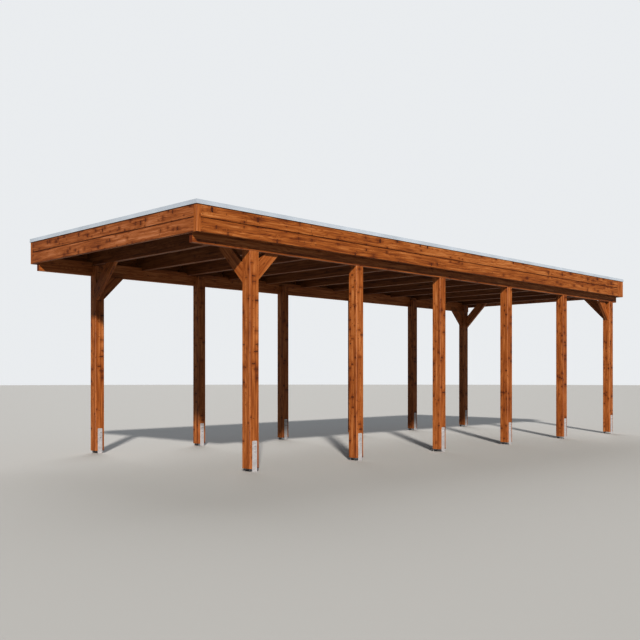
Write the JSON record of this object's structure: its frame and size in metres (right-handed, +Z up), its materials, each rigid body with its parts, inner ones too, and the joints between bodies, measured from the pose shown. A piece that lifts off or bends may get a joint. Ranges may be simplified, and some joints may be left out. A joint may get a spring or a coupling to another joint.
{
  "type": "flat-roofed timber carport",
  "caption": "Flat-roofed timber carport: rows of square posts on steel strap anchors carry purlins, rafters, ribbed roof sheets and a grooved board fascia.",
  "frame": {"origin": "the middle of the carport's plan, at ground level, where the strap anchors stand", "axes": "+Z up; -Y is the entrance, with the long front overhang; +X is the right side as seen by someone who stands in front of the entrance; the posts stand in two rows along Y"},
  "size_m": [3.146, 8.638, 2.503],
  "materials": {
    "frame_wood": "planed spruce glulam with a red-brown wood stain, matt to satin",
    "fascia_wood": "planed tongued and grooved spruce boards with the same red-brown stain, matt to satin",
    "galvanised_steel": "hot-dip galvanised, dull grey with a faint spangle",
    "roof_sheet": "coated trapezoidal steel sheet, light grey, low gloss",
    "edge_trim": "mill-finished aluminium edge section, satin"
  },
  "bodies": {
    "root": {"anchors_left": "galvanised_steel", "anchors_right": "galvanised_steel", "corner_battens": "fascia_wood", "edge_trim_ends": "edge_trim", "edge_trim_sides": "edge_trim", "end_rafters": "frame_wood", "fascia_front_lower": "fascia_wood", "fascia_front_upper": "fascia_wood", "fascia_left_lower": "fascia_wood", "fascia_left_upper": "fascia_wood", "fascia_rear_lower": "fascia_wood", "fascia_rear_upper": "fascia_wood", "fascia_right_lower": "fascia_wood", "fascia_right_upper": "fascia_wood", "head_braces_left": "frame_wood", "head_braces_right": "frame_wood", "post_left_1": "frame_wood", "post_left_2": "frame_wood", "post_left_3": "frame_wood", "post_left_4": "frame_wood", "post_left_5": "frame_wood", "post_left_6": "frame_wood", "post_right_1": "frame_wood", "post_right_2": "frame_wood", "post_right_3": "frame_wood", "post_right_4": "frame_wood", "post_right_5": "frame_wood", "post_right_6": "frame_wood", "purlin_left": "frame_wood", "purlin_right": "frame_wood", "rafter_1": "frame_wood", "rafter_2": "frame_wood", "rafter_3": "frame_wood", "rafter_4": "frame_wood", "rafter_5": "frame_wood", "rafter_6": "frame_wood", "rafter_7": "frame_wood", "rafter_8": "frame_wood", "rafter_9": "frame_wood", "rafter_10": "frame_wood", "rafter_11": "frame_wood", "rafter_12": "frame_wood", "rear_end_boards": "fascia_wood", "roof_sheet_middle": "roof_sheet", "roof_sheets_outer": "roof_sheet"}
  },
  "joints": []
}
